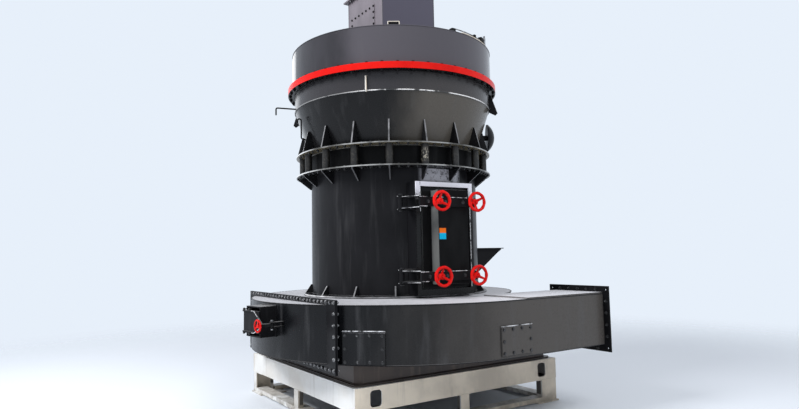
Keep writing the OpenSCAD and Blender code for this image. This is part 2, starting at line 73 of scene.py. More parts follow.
# ---- Materials are written as expressions: arithmetic on a socket adds the Math nodes that it needs.
# Patterns read Object coordinates, in metres.
class Socket:
    """One output of a material's nodes. Operators on it give the output of a new Math node."""

    def __init__(self, finish, output):
        self.finish = finish
        self.output = output

    def math(self, operation, *values):
        return self.finish.node("Math", {"operation": operation}, values)

    def __add__(self, other):
        return self.math("ADD", self, other)

    def __sub__(self, other):
        return self.math("SUBTRACT", self, other)

    def __rsub__(self, other):
        return self.math("SUBTRACT", other, self)

    def __mul__(self, other):
        return self.math("MULTIPLY", self, other)

    def size(self):
        return self.math("ABSOLUTE", self)

    def between(self, low, high):
        """0 below low, 1 above high and a smooth rise between them."""
        return self.finish.node("MapRange", {"interpolation_type": "SMOOTHSTEP"},
                                {"Value": self, "From Min": low, "From Max": high})

    __radd__ = __add__
    __rmul__ = __mul__


class Finish:
    """A material with one Principled shader, whose patterns read Object coordinates."""

    def __init__(self, name):
        self.material = bpy.data.materials.new(name)
        self.material.use_nodes = True
        self.tree = self.material.node_tree
        self.tree.nodes.clear()
        self.shader = self.tree.nodes.new("ShaderNodeBsdfPrincipled")
        surface = self.tree.nodes.new("ShaderNodeOutputMaterial")
        self.tree.links.new(self.shader.outputs["BSDF"], surface.inputs["Surface"])
        place = self.tree.nodes.new("ShaderNodeTexCoord")
        self.place = Socket(self, place.outputs["Object"])
        self.facing = Socket(self, place.outputs["Normal"])

    def node(self, kind, settings=None, values=(), output=0):
        """A node of that kind. Settings are set first, then values go to the sockets in order or by name."""
        made = self.tree.nodes.new("ShaderNode" + kind)
        for name, value in (settings or {}).items():
            setattr(made, name, value)
        pairs = values.items() if isinstance(values, dict) else enumerate(values)
        for name, value in pairs:
            self.feed(made.inputs[name], value)
        return Socket(self, made.outputs[output])

    def feed(self, socket, value):
        if isinstance(value, Socket):
            self.tree.links.new(value.output, socket)
        elif isinstance(value, tuple) and len(value) == 3 and len(socket.default_value) == 4:
            socket.default_value = (*value, 1.0)
        else:
            socket.default_value = value

    def shade(self, **values):
        """Feeds the shader: base_color="Base Color" and so on, by its own socket names."""
        for name, value in values.items():
            self.feed(self.shader.inputs[name.replace("_", " ").title().replace("Ior", "IOR")], value)
        return self.material

    def at(self, axis):
        """A point's place along X, Y or Z: 0, 1 or 2."""
        return self.node("SeparateXYZ", None, [self.place], axis)

    def faces(self, axis):
        """How far a face looks along that axis, -1 to 1."""
        return self.node("SeparateXYZ", None, [self.facing], axis)

    def rear_left(self):
        """1 for what faces the rear left, -1 for what faces the front right."""
        return self.faces(1) * 0.6 - self.faces(0) * 0.8

    def stretched(self, x, y, z):
        """Object coordinates multiplied along each axis, for patterns that run one way."""
        return self.node("VectorMath", {"operation": "MULTIPLY"}, [self.place, (x, y, z)])

    def noise(self, scale, detail=3.0, rough=0.55, where=None):
        return self.node("TexNoise", None, {"Vector": where or self.place, "Scale": scale,
                                            "Detail": detail, "Roughness": rough})

    def mix(self, amount, first, second):
        """The first colour where amount is 0, the second where it is 1."""
        return self.node("Mix", {"data_type": "RGBA"}, {0: amount, 6: first, 7: second}, 2)

    def bump(self, height, distance, strength):
        return self.node("Bump", None, {"Strength": strength, "Distance": distance, "Height": height})


def paint_nodes(material, *names):
    """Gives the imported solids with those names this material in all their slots."""
    for name in names:
        mesh = nodes[name].data
        mesh.materials.clear()
        mesh.materials.append(material)


# ---- Studio: a pale floor that fades into a pale background, which is brighter to look at than it is as a
# light, and soft lamps.
def rectangle(left, right, low, high):
    """The corners of a rectangle in turn, two numbers each."""
    return [(left, low), (right, low), (right, high), (left, high)]


floor_half = 40.0
floor_corners = [(x, y, 0) for x, y in rectangle(-floor_half, floor_half, -floor_half, floor_half)]
floor_mesh = bpy.data.meshes.new("studio_floor")
floor_mesh.from_pydata(floor_corners, [], [(0, 1, 2, 3)])
floor = bpy.data.objects.new("studio_floor", floor_mesh)
scene.collection.objects.link(floor)
floor_paint = Finish("studio_floor")
far = floor_paint.node("VectorMath", {"operation": "LENGTH"}, [floor_paint.place], 1)
floor_mesh.materials.append(floor_paint.shade(base_color=(0.80, 0.84, 0.90), roughness=0.6,
                                              alpha=1.0 - far.between(4.5, 10.0)))

sky = bpy.data.worlds.new("studio")
scene.world = sky
sky.use_nodes = True
sky.node_tree.nodes.clear()
link = sky.node_tree.links.new


def sky_node(kind):
    return sky.node_tree.nodes.new("ShaderNode" + kind)


world_output = sky_node("OutputWorld")
blend = sky_node("MixShader")
seen = sky_node("Background")
seen.inputs["Color"].default_value = (0.80, 0.87, 0.96, 1)
lit = sky_node("Background")
lit.inputs["Color"].default_value = (0.90, 0.94, 1.0, 1)
lit.inputs["Strength"].default_value = 0.55
ray = sky_node("LightPath")
straight = ray.outputs["Is Camera Ray"]
for kind in ("Is Glossy Ray", "Is Transmission Ray"):
    either = sky_node("Math")
    either.operation = "MAXIMUM"
    link(straight, either.inputs[0])
    link(ray.outputs[kind], either.inputs[1])
    straight = either.outputs[0]
link(straight, blend.inputs["Fac"])
link(lit.outputs["Background"], blend.inputs[1])
link(seen.outputs["Background"], blend.inputs[2])
link(blend.outputs["Shader"], world_output.inputs["Surface"])

for name, place, aim, wide, high, power, mirrored in (
        ("key", (-8.0, 0.5, 8.0), (0, 0, 2.0), 3.5, 3.5, 900.0, False),
        ("fill", (0.5, -6.5, 8.5), (0, 0, 2.0), 3.5, 3.5, 330.0, False),
        ("sky_strip", (1.0, 9.5, 7.2), (0, 0, 3.6), 6.0, 2.2, 62.0, True)):
    lamp = bpy.data.lights.new(name, "AREA")
    lamp.shape = "RECTANGLE"
    lamp.size, lamp.size_y = wide, high
    lamp.energy = power
    holder = bpy.data.objects.new(name, lamp)
    holder.location = place
    holder.rotation_euler = (Vector(aim) - Vector(place)).to_track_quat("-Z", "Y").to_euler()
    holder.visible_glossy = mirrored
    holder.visible_camera = False
    scene.collection.objects.link(holder)


# ---- Base frame: rolled channels and H-beams, joined with fillet welds and sprayed with a pale primer that
# is stained near the floor. Shade is painted on the faces that look to the front and within the frame.
def primer():
    """Pale primer, stained low down. Painted shade makes the faces that look to the front warmer and darker,
    and the frame dark within.
    """
    finish = Finish("frame_primer")
    height = finish.at(2)
    cloud = finish.noise(2.2, 4.0)
    grain = finish.noise(34.0, 3.0)
    streak = finish.noise(1.0, 4.0, 0.6, finish.stretched(14.0, 14.0, 1.2))
    # Painted shade: faces that look to -Y get a warmer, darker tone, and the brown clouds show most on them.
    front = (finish.faces(1) * -1.0).between(0.5, 0.9)
    tone = finish.mix(front, (0.80, 0.80, 0.785), (0.82, 0.72, 0.58))
    tone = finish.mix(cloud.between(0.35, 0.7) * (front * 0.55 + 0.45), tone, (0.54, 0.47, 0.38))
    tone = finish.mix(streak.between(0.56, 0.72) * 0.3, tone, (0.30, 0.27, 0.22))
    low = (1.0 - height.between(0.02, 0.16)) * finish.noise(9.0).between(0.35, 0.6)
    tone = finish.mix(low * 0.6, tone, (0.20, 0.17, 0.13))
    # Painted shade: dark behind the outer faces, from above the rails to just under the beam tops.
    x, y = finish.at(0).size(), finish.at(1).size()
    behind_faces = 1.0 - x.math("MAXIMUM", x, y).between(1.180, 1.188)
    painted_inner_shade = behind_faces * height.between(0.07, 0.09) * (1.0 - height.between(0.424, 0.43))
    tone = finish.mix(painted_inner_shade * 0.9, tone, (0.035, 0.03, 0.026))
    return finish.shade(base_color=tone, roughness=grain.between(0.3, 0.7) * 0.2 + 0.42,
                        normal=finish.bump(grain, 0.0006, 0.5))


def grid_faces(rows, columns, looped):
    """Quads between neighbours of a grid of points stored row by row: point a, b joins a, b+1, a+1, b+1 and
    a+1, b. Rows close on themselves, and looped also joins the last row to the first."""
    a, b = np.meshgrid(np.arange(rows if looped else rows - 1), np.arange(columns), indexing="ij")
    c, d = (a + 1) % rows, (b + 1) % columns
    return np.stack([a * columns + b, a * columns + d, c * columns + d, c * columns + b], -1).reshape(-1, 4)


def capped(rows, columns):
    """The quads of a grid of rings, with a flat face on its first ring and on its last."""
    ring = np.arange(columns)[None]
    return [grid_faces(rows, columns, False), ring[:, ::-1], ring + (rows - 1) * columns]


def swept(path, outline, over, looped=False):
    """An outline carried along a path: the path's point, plus the outline's first number times the side,
    which is the tangent crossed with over, plus its second number times the side crossed with the tangent."""
    path = np.asarray(path, float)
    tangent = np.roll(path, -1, 0) - np.roll(path, 1, 0)
    if not looped:
        tangent[0], tangent[-1] = path[1] - path[0], path[-1] - path[-2]
    side = np.cross(tangent, over)
    side /= np.linalg.norm(side, axis=1, keepdims=True)
    rise = np.cross(side, tangent)
    rise /= np.linalg.norm(rise, axis=1, keepdims=True)
    outline = np.broadcast_to(outline, (len(path),) + np.shape(outline)[-2:])
    points = path[:, None] + outline[..., :1] * side[:, None] + outline[..., 1:] * rise[:, None]
    rows, columns = points.shape[:2]
    return points.reshape(-1, 3), [grid_faces(rows, columns, True)] if looped else capped(rows, columns)


def paced(corners, step, looped=False):
    """Points about one step apart on the straight lines between corners, by running length."""
    corners = np.asarray(corners, float)
    if looped:
        corners = np.vstack([corners, corners[:1]])
    run = np.concatenate([[0.0], np.cumsum(np.linalg.norm(np.diff(corners, axis=0), axis=1))])
    at = np.linspace(0.0, run[-1], max(int(run[-1] / step), 2) + 1)
    at = at[:-1] if looped else at
    return np.stack([np.interp(at, run, corners[:, k]) for k in range(3)], 1)


def arc(x, y, z, radius, start, end, step=0.02):
    """Points on a level arc round x, y: the centre plus radius times cosine and sine of the angle."""
    start, end = radians(start), radians(end)
    angle = np.linspace(start, end, max(int(radius * abs(end - start) / step), 2) + 1)
    return np.stack([x + radius * np.cos(angle), y + radius * np.sin(angle), z + 0 * angle], 1)


def bead(corners, radius, over=(0, 0, 1), looped=False, pitch=0.016):
    """A weld bead: a seven-sided circle carried along the path, its radius times 1 + 0.16 sine of the running
    length, so that it swells once in each pitch."""
    path = paced(corners, pitch / 3, looped)
    swell = radius * (1 + 0.16 * np.sin(np.arange(len(path)) * 2 * pi / 3 + 0.4))
    angle = np.arange(7) * 2 * pi / 7
    ring = np.stack([np.cos(angle), np.sin(angle)], -1)
    return swept(path, swell[:, None, None] * ring, over, looped)


def piece(name, material, shapes, body="mill", sharp=40):
    """One object from a list of shapes, at the origin, with its normals outward, riding on a body."""
    starts = np.cumsum([0] + [len(points) for points, _ in shapes])
    faces = [face for (_, groups), start in zip(shapes, starts) for group in groups
             for face in (np.asarray(group) + start).tolist()]
    mesh = bpy.data.meshes.new(name)
    mesh.from_pydata(np.concatenate([points for points, _ in shapes]).tolist(), [], faces)
    work = bmesh.new()
    work.from_mesh(mesh)
    bmesh.ops.recalc_face_normals(work, faces=work.faces)
    work.to_mesh(mesh)
    work.free()
    mesh.shade_smooth()
    mesh.set_sharp_from_angle(angle=radians(sharp))
    mesh.materials.append(material)
    made = bpy.data.objects.new(name, mesh)
    scene.collection.objects.link(made)
    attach(made, body)
    return made


frame_primer = primer()
paint_nodes(frame_primer, "foot_plates", "floor_rails", "frame_posts", "front_and_back_beams",
            "side_and_cross_beams")
half = 1.2
beam_foot, beam_top = 0.233, 0.434
post_top = 0.231
fillets = [bead([(x, y, beam_foot), (x, y, beam_top)], 0.005, (1, 0, 0)) for x in (-half, half)
           for y in (-half, half)]
for s in (-1, 1):
    for start, end in ((-1.195, -0.935), (-0.092, 0.038), (0.935, 1.195)):
        fillets.append(bead([(start, s * half, post_top), (end, s * half, post_top)], 0.004))
        fillets.append(bead([(s * half, start, post_top), (s * half, end, post_top)], 0.004))
piece("frame_welds", frame_primer, fillets)


# ---- Plinth: a welded box in brown-black anticorrosive paint, streaked where oil and rust have run down it.
def brown_black():
    finish = Finish("plinth_paint")
    cloud = finish.noise(3.0, 4.0)
    run = finish.noise(1.0, 4.0, 0.6, finish.stretched(18.0, 18.0, 1.6))
    tone = finish.mix(cloud.between(0.3, 0.7), (0.030, 0.021, 0.018), (0.060, 0.044, 0.036))
    tone = finish.mix(run.between(0.55, 0.75) * 0.6, tone, (0.105, 0.080, 0.062))
    return finish.shade(base_color=tone, roughness=cloud * 0.25 + 0.30, specular_ior_level=0.35,
                        normal=finish.bump(finish.noise(60.0), 0.0006, 0.4))


plinth_paint = brown_black()
paint_nodes(plinth_paint, "plinth")
side, cut = 1.146, 1.086
foot = [(-side, -cut), (-cut, -side), (cut, -side), (side, -cut), (side, cut), (cut, side), (-cut, side),
        (-side, cut)]
piece("plinth_weld", plinth_paint, [bead([(x, y, 0.455) for x, y in foot], 0.006, looped=True, pitch=0.02)])


# ---- Volute: a spiral of rolled wall plates with a roof and a floor welded on, in glossy near-black enamel
# that is painted lighter brown-grey towards the duct as light. Pale dust lies on what faces up.
def enamel(name, colour, gloss, dust, shine=0.2, painted_light=None, pale=(0.36, 0.355, 0.36), streaks=0.12,
           door_reflection=0.0, band=None, edge_sheen=0.0):
    """Sprayed enamel with orange peel and pale dust on what faces up. A second colour that ramps in between
    two places along X is painted light and shade. Lighter upright streaks are a painted sheen. A pale patch
    above the access door and the paling of what faces the rear left are painted reflections. A band gives a
    colour above a height."""
    finish = Finish(name)
    cloud = finish.noise(1.3, 4.0, 0.6, finish.stretched(1.5, 1.5, 0.8))
    speck = finish.noise(24.0, 5.0, 0.7)
    streak_noise = finish.noise(1.0, 4.0, 0.6, finish.stretched(9.0, 9.0, 0.9))
    tone = finish.mix(cloud.between(0.3, 0.7), tuple(0.6 * c for c in colour), colour)
    # Painted light and shade: a second colour ramps in along X.
    if painted_light:
        second, start, end = painted_light
        along = finish.at(0) + (cloud - 0.5) * min(0.9, end - start)
        tone = finish.mix(along.between(start, end), tone, second)
    # Painted sheen: lighter streaks that run up and down.
    tone = finish.mix(streak_noise.between(0.52, 0.74) * streaks, tone, (0.10, 0.10, 0.105))
    if band:
        start, second = band
        tone = finish.mix(finish.at(2).between(start, start + 0.01) * 0.8, tone, second)
    # Painted reflection: what faces the rear left turns pale.
    if edge_sheen:
        tone = finish.mix(finish.rear_left().between(0.84, 0.94) * edge_sheen, tone, (0.50, 0.50, 0.49))
    # Painted reflection: a pale patch on the shell above the access door.
    if door_reflection:
        x, y, z = (finish.at(k) for k in range(3))
        above_door = (1.0 - (x + 0.02).size().between(0.20, 0.27)) * z.between(2.24, 2.29)
        patch = above_door * (y * -1.0).between(0.5, 0.6)
        tone = finish.mix(patch * speck.between(0.34, 0.52) * door_reflection, tone, (0.80, 0.80, 0.86))
    lying = finish.faces(2).between(0.55, 0.95) * (speck.between(0.3, 0.75) * 0.2 + streak_noise * 0.3 + 0.6) * dust
    # With the ramp, the pale on top faces thins towards -X.
    if painted_light:
        lying = lying * (along.between(-1.7, 0.1) * 0.3 + 0.7)
    tone = finish.mix(lying, tone, pale)
    rough = speck.between(0.35, 0.75) * 0.07 + cloud * 0.12 + (lying * 0.35 + gloss)
    return finish.shade(base_color=tone, roughness=rough, specular_ior_level=shine,
                        normal=finish.bump(finish.noise(150.0, 2.0), 0.0002, 0.2))


def slab(low, high, cut=0.0001):
    """A flat plate between two corners, with its upright edges cut off by that much."""
    (x, y, z), (u, v, w) = low, high
    ring = np.array([(x + cut, y), (u - cut, y), (u, y + cut), (u, v - cut),
                     (u - cut, v), (x + cut, v), (x, v - cut), (x, y + cut)])
    return np.concatenate([np.column_stack([ring, np.full(8, h)]) for h in (z, w)]), capped(2, 8)


black = enamel("mill_paint", (0.0115, 0.0115, 0.013), 0.26, 0.5, 0.08)
# Painted light: the volute turns brown-grey from X = -1.35 to 0.30, towards the duct.
volute_black = enamel("volute_paint", (0.0055, 0.006, 0.0075), 0.20, 1.0, 0.22,
                      ((0.080, 0.073, 0.067), -1.35, 0.30), (0.66, 0.66, 0.70), 0.32)
paint_nodes(volute_black, "volute_floor", "volute_roof", "volute_front_wall", "volute_left_wall",
            "volute_back_wall", "volute_right_wall", "cover_plates")
paint_nodes(black, "duct_flanges")

# The plan of the walls, from the duct's mouth round the front, left, back and right.
spiral = np.concatenate([[(1.26, -1.79, 0)], arc(0.04, -0.14, 0, 1.65, 270, 180),
                         arc(-0.02, -0.14, 0, 1.5855, 179, 90), arc(-0.02, 0.09, 0, 1.3555, 89, 0),
                         arc(0.03, 0.09, 0, 1.31, -1, -75), [(0.36, -1.18, 0), (1.26, -1.18, 0)]])
under_floor, on_roof = 0.6345, 1.1245
seams = [bead(spiral + (0, 0, z), 0.005) for z in (on_roof, under_floor)]
seams += [bead([(x, y, 0.64), (x, y, 1.12)], 0.004, (1, 0, 0)) for x, y in ((-0.02, 1.4455), (1.34, 0.09))]
piece("volute_seams", black, seams)
piece("duct_top_plate", volute_black,
      [slab((0.24, -1.786, 1.1265), (1.262, -1.20, 1.139), 0.004),
       bead([(0.24, -1.78, 1.128), (0.24, -1.21, 1.128)], 0.005)])


# ---- Bolted joints of the volute: hexagon bolts on washers through the split flanges, the duct flange and
# the two blind covers, painted with the mill and rubbed by spanners.
def turned(rows, sides=12):
    """A closed turned shape about +Z. A row is radius, height and 1 where the ring is a hexagon, whose radius
    is divided by the cosine of the angle from the middle of the nearest flat."""
    rows = np.asarray(rows, float)
    angle = np.arange(sides) * 2 * pi / sides
    flat = cos(pi / 6) / np.cos((angle + pi / 6) % (pi / 3) - pi / 6)
    reach = rows[:, :1] * np.where(rows[:, 2:3] > 0, flat, 1.0)
    points = np.stack([reach * np.cos(angle), reach * np.sin(angle), rows[:, 1:2] + 0 * angle], -1)
    return points.reshape(-1, 3), capped(len(rows), sides)


def set_out(shape, places, axes):
    """The shape once at each place with its +Z along the axis: the place plus x times one side, plus y times
    the other, plus z times the axis."""
    points, groups = shape
    places = np.atleast_2d(np.asarray(places, float))
    z = np.broadcast_to(np.asarray(axes, float), places.shape)
    z = z / np.linalg.norm(z, axis=1, keepdims=True)
    x = np.cross(np.where(np.abs(z[:, 2:]) > 0.9, (1.0, 0, 0), (0, 0, 1.0)), z)
    x /= np.linalg.norm(x, axis=1, keepdims=True)
    y = np.cross(z, x)
    spread = (places[:, None] + points[None, :, :1] * x[:, None] + points[None, :, 1:2] * y[:, None]
              + points[None, :, 2:] * z[:, None])
    step = (np.arange(len(places)) * len(points))[:, None, None]
    return spread.reshape(-1, 3), [(np.asarray(g)[None] + step).reshape(-1, np.shape(g)[-1]) for g in groups]


def on_washer(size, rows):
    """A washer and a hexagon size across its corners, then more rings, in halves of that size."""
    rows = [(1.25, 0, 0), (1.25, 0.16, 0), (1, 0.16, 1)] + rows
    return turned([(size / 2 * r, size / 2 * h, flat) for r, h, flat in rows])


def hex_bolt(size):
    return on_washer(size, [(1, 0.72, 1), (0.82, 0.86, 0)])


def hex_nut(size):
    """A nut with the end of the bolt standing out of it."""
    return on_washer(size, [(1, 0.9, 1), (0.82, 1.02, 0), (0.5, 1.02, 0), (0.5, 1.5, 0), (0.4, 1.6, 0)])


def bolt_frame(wide, high, across, upward, corners=True):
    """Places round a rectangle, two numbers each: across of them on each level side and upward of them on
    each upright one, both counted with the corners, which may be left out."""
    level = np.linspace(*wide, across)
    places = [(u, v) for u in (level if corners else level[1:-1]) for v in high]
    places += [(u, v) for u in wide for v in np.linspace(*high, upward)[1:-1]]
    return np.array(places)


def mottled(name, grain, low, high, first, second, rough=0.35, metal=0.0):
    """The second colour in patches, where a noise of that scale, detail and roughness is high."""
    finish = Finish(name)
    tone = finish.mix(finish.noise(*grain).between(low, high), first, second)
    return finish.shade(base_color=tone, roughness=rough, metallic=metal)


def highlight_edge_paint():
    """Painted highlights on plate edges: near-white in stretches on dark paint, a little metallic."""
    finish = Finish("edge_highlight")
    highlight_stretch = finish.noise(16.0, 4.0, 0.7).between(0.38, 0.56)
    tone = finish.mix(highlight_stretch, (0.025, 0.025, 0.027), (0.86, 0.86, 0.88))
    return finish.shade(base_color=tone, roughness=0.35, metallic=highlight_stretch * 0.3)


def rubber_sheet():
    finish = Finish("gasket_rubber")
    tone = finish.mix(finish.noise(40.0), (0.020, 0.020, 0.021), (0.045, 0.043, 0.040))
    return finish.shade(base_color=tone, roughness=0.75)


painted_bolts = mottled("painted_bolts", (60.0, 4.0, 0.65), 0.55, 0.68, (0.012, 0.012, 0.013),
                        (0.15, 0.15, 0.155))
rubbed_bolts = mottled("rubbed_bolts", (70.0, 3.0), 0.47, 0.62, (0.02, 0.02, 0.022), (0.36, 0.36, 0.37))
edge_highlight = highlight_edge_paint()
rubber = rubber_sheet()

split = bolt_frame((-1.148, 0.823), (1.151, 0.594), 28, 7)
piece("split_flange_bolts", rubbed_bolts,
      [set_out(hex_bolt(0.028), np.insert(split, 0, -1.362, axis=1), (-1, 0, 0)),
       set_out(hex_nut(0.028), np.insert(split, 0, -1.338, axis=1), (1, 0, 0))])
duct = bolt_frame((-1.145, -1.825), (1.162, 0.597), 7, 6, corners=False)
piece("duct_flange_bolts", painted_bolts,
      [set_out(hex_nut(0.030), np.insert(duct, 0, 1.265, axis=1), (-1, 0, 0))])

front_cover = bolt_frame((-0.072, 0.244), (0.682, 0.883), 4, 3)
cover_az = radians(-136.3)
cover_out = np.array([cos(cover_az), sin(cover_az), 0])
cover_across = np.array([-sin(cover_az), cos(cover_az), 0])


def left_cover_point(out, across, z):
    """A point by its distance from the front arc's centre, place across the left cover, and height."""
    return np.array([0.04, -0.14, z]) + out * cover_out + across * cover_across


left_cover = [left_cover_point(1.662, s, z) for s, z in bolt_frame((-0.161, 0.161), (0.662, 0.880), 4, 3)]
piece("cover_bolts", painted_bolts,
      [set_out(hex_bolt(0.024), np.insert(front_cover, 1, -1.802, axis=1), (0, -1, 0)),
       set_out(hex_bolt(0.024), left_cover, cover_out)])
# Painted highlights along the top edges of the two covers.
piece("cover_edges", edge_highlight,
      [bead([(-0.098, -1.798, 0.910), (0.270, -1.798, 0.910)], 0.004, (0, 1, 0)),
       bead([left_cover_point(1.658, s, 0.915) for s in (-0.186, 0.186)], 0.004, cover_out)])
gasket_rim = [(x, -1.7915, z) for x, z in rectangle(-0.095, 0.267, 0.659, 0.906)]
piece("cover_gasket", rubber, [bead(gasket_rim, 0.004, (0, 1, 0), True)])


# ---- Inspection door on the left end of the volute: a plate that a forked strap presses on a short box.
# Black knobs on swing bolts hold its corners, and the strap turns on a zinc-plated pin.
def inspection_point(p, q, z):
    """p straight out from the wall and q towards the front, turned into the model's frame."""
    way = radians(189)
    return np.array([-1.61 + p * cos(way) - q * sin(way), -0.32 + p * sin(way) + q * cos(way), z])


def inspection_bead(p, corners, radius, over, looped=False):
    """A bead through corners given by q and z, all at the same distance from the wall."""
    return bead([inspection_point(p, q, z) for q, z in corners], radius, over, looped)


def bolt_steel():
    """Zinc-plated steel, dulled by paint mist and dust."""
    finish = Finish("bolt_steel")
    mist = finish.noise(55.0, 4.0, 0.65)
    tone = finish.mix(mist.between(0.36, 0.62), (0.42, 0.42, 0.43), (0.10, 0.10, 0.105))
    return finish.shade(base_color=tone, metallic=0.75, roughness=mist * 0.35 + 0.22)


zinc = bolt_steel()
paint_nodes(black, "inspection_box", "inspection_door")
out = inspection_point(1, 0, 0) - inspection_point(0, 0, 0)
knob = turned([(0.004, -0.02, 0), (0.004, 0.0, 0), (0.0115, 0.004, 0), (0.0135, 0.011, 0), (0.0115, 0.018, 0),
               (0.006, 0.021, 0)])
knob_places = [(q, z) for q in (-0.138, -0.045) for z in (1.072, 0.860)]
knobs = [set_out(knob, [inspection_point(0.161, q, z) for q, z in knob_places], out)]
knobs += [bead([inspection_point(0.15, q, z), inspection_point(0.173, q, z)], 0.005) for q, z in knob_places]
piece("inspection_knobs", rubber, knobs, "inspection_door")
piece("inspection_box_weld", black,
      [inspection_bead(-0.004, rectangle(-0.127, 0.127, 0.827, 1.103), 0.006, out, True)])
pin = inspection_point(0.095, 0.225, 0)
piece("inspection_pin_head", zinc, [set_out(hex_bolt(0.026), [pin + (0, 0, 0.979)], (0, 0, 1)),
                                    set_out(hex_bolt(0.026), [pin + (0, 0, 0.911)], (0, 0, -1))])
# Painted highlights along the edges of the inspection strap's fork.
strap_edges = []
for s in (-1, 1):
    fork = ((0.204, 0.945 + s * 0.011), (0.062, 0.966 + s * 0.097), (0.022, 0.966 + s * 0.097))
    strap_edges.append(inspection_bead(0.1845, fork, 0.0028, out))
piece("inspection_strap_edges", edge_highlight, strap_edges, "inspection_door")
screw_nut = turned([(0.015, 0, 1), (0.015, 0.007, 1), (0.009, 0.0075, 0)])
piece("inspection_screw_nut", zinc, [set_out(screw_nut, [inspection_point(0.190, 0.197, 0.945)], out)],
      "inspection_door")


# ---- Body: a rolled shell on a foot ring with gussets, welded all round and bolted down. Its paint has
# lighter streaks of painted sheen and a pale painted reflection above the access door. The edges of gussets
# and ribs carry painted highlights.
def rib_paint():
    """Black, with painted highlights on the edges that face away from the mill axis, palest on the rear left
    below as a painted reflection.
    """
    finish = Finish("rib_paint")
    away = finish.node("VectorMath", {"operation": "NORMALIZE"}, [finish.stretched(1, 1, 0)])
    outward = finish.node("VectorMath", {"operation": "DOT_PRODUCT"}, [away, finish.facing], 1)
    cloud = finish.noise(7.0, 4.0, 0.6).between(0.34, 0.6)
    low = 1.0 - finish.at(2).between(2.42, 2.46)
    # Painted reflection: paler on what faces the rear left, low down below the ring flanges.
    bare_and_sheen = finish.mix(finish.rear_left().between(0.50, 0.75) * low, (0.24, 0.24, 0.25), (0.85, 0.85, 0.86))
    # Painted highlight: the edges that face away from the axis are pale.
    tone = finish.mix(outward.between(0.5, 0.75) * (cloud * 0.6 + 0.4), (0.009, 0.009, 0.010), bare_and_sheen)
    return finish.shade(base_color=tone, roughness=0.32, specular_ior_level=0.15)


def around(radius, az, z):
    """A point by its distance and direction from the mill axis."""
    return np.array([radius * cos(radians(az)), radius * sin(radians(az)), z])


def round_seam(radius, z, size, step=0.016):
    """A weld bead all round the mill axis."""
    return bead(arc(0, 0, z, radius, 0, 360)[:-1], size, looped=True, pitch=step)


ribs_black = rib_paint()
black_and_shade = enamel("gap_paint", (0.004, 0.004, 0.0042), 0.45, 0.3, 0.1)
# Painted sheen in streaks, and a painted reflection as a pale patch above the access door.
paint_nodes(enamel("body_paint", (0.0150, 0.0150, 0.017), 0.26, 0.5, 0.08, streaks=0.2, door_reflection=0.85),
            "body_shell")
paint_nodes(ribs_black, "body_foot_ring")
paint_nodes(black_and_shade, "air_inlet_ring")
gusset_az = [-123 - 24 * k for k in range(3)] + [-203 - 26 * k for k in range(9)]
gusset_foot, gusset_top = 1.149, 1.238
body_welds = [round_seam(0.923, 1.148, 0.006), round_seam(1.003, 1.1285, 0.005),
              round_seam(0.922, 2.397, 0.005),
              bead([around(0.921, 70, 1.15), around(0.921, 70, 2.395)], 0.003, (1, 0, 0))]
for az in gusset_az:
    for s in (-1, 1):
        rim = around(s * 0.0085, az + 90, 0)
        corners = [around(0.926, az, gusset_top), around(0.926, az, gusset_foot + 0.001),
                   around(0.992, az, gusset_foot)]
        body_welds.append(bead([corner + rim for corner in corners], 0.0035, rim))
piece("body_welds", black, body_welds)
foot_bolts = [around(0.966, az, 1.146) for az in range(-112, 236, 12)
              if not -120 < az < -70 and min(abs((az - g + 180) % 360 - 180) for g in gusset_az) > 3]
piece("foot_ring_bolts", painted_bolts, [set_out(hex_bolt(0.030), foot_bolts, (0, 0, 1))])


# ---- Ring flanges: two bronze-toned plates with painted highlights on their rims, which bolts draw together
# on sleeves. The sleeves are chipped and rusty, and one of them has peeled.
def flange_paint():
    """Bronze on the underside of the upper plate and black elsewhere. Both rims carry a painted highlight,
    white as a painted reflection where they face the rear left.
    """
    finish = Finish("flange_paint")
    cloud = finish.noise(3.0, 4.0)
    chips = finish.noise(30.0, 5.0, 0.7)
    rise = finish.faces(2)
    upper = finish.at(2).between(2.50, 2.52)
    under = (rise * -1.0).between(0.5, 0.8)
    rim = 1.0 - rise.size().between(0.3, 0.6)
    tone = finish.mix(under * upper, (0.012, 0.012, 0.012), (0.16, 0.135, 0.085))
    # Painted highlight on the rims, white as a painted reflection where they face the rear left.
    rim_highlight = finish.mix(cloud.between(0.40, 0.62), (0.07, 0.068, 0.062), (0.42, 0.42, 0.41))
    rim_highlight = finish.mix(finish.rear_left().between(0.66, 0.88), rim_highlight, (0.80, 0.80, 0.80))
    tone = finish.mix(rim, tone, rim_highlight)
    tone = finish.mix(chips.between(0.60, 0.72) * 0.5, tone, (0.03, 0.028, 0.025))
    return finish.shade(base_color=tone, roughness=cloud * 0.2 + 0.22, metallic=rim * 0.3,
                        specular_ior_level=0.4)


def sleeve_paint():
    """Black with rust in chips near the middle of each sleeve, and over most of the one that has peeled."""
    finish = Finish("sleeve_paint")
    bare_and_sheen = 1.0 - (finish.at(2) - 2.515).size().between(0.03, 0.085)
    chips = finish.noise(38.0, 5.0, 0.75)
    tone = finish.mix(chips.between(0.3, 0.7), (0.005, 0.0045, 0.004), (0.013, 0.011, 0.009))
    rust = finish.mix(chips.between(0.42, 0.62), (0.10, 0.075, 0.05), (0.38, 0.35, 0.29))
    peeled = 1.0 - (finish.at(0) + 0.262).size().between(0.04, 0.14)
    tone = finish.mix(bare_and_sheen * chips.between(0.47, 0.60) * (peeled * 0.93 + 0.07), tone, rust)
    return finish.shade(base_color=tone, roughness=chips * 0.3 + 0.35, normal=finish.bump(chips, 0.002, 0.7))


bronze = flange_paint()
paint_nodes(bronze, "ring_flanges")
paint_nodes(sleeve_paint(), "ring_sleeves")
paint_nodes(ribs_black, "flange_ribs")
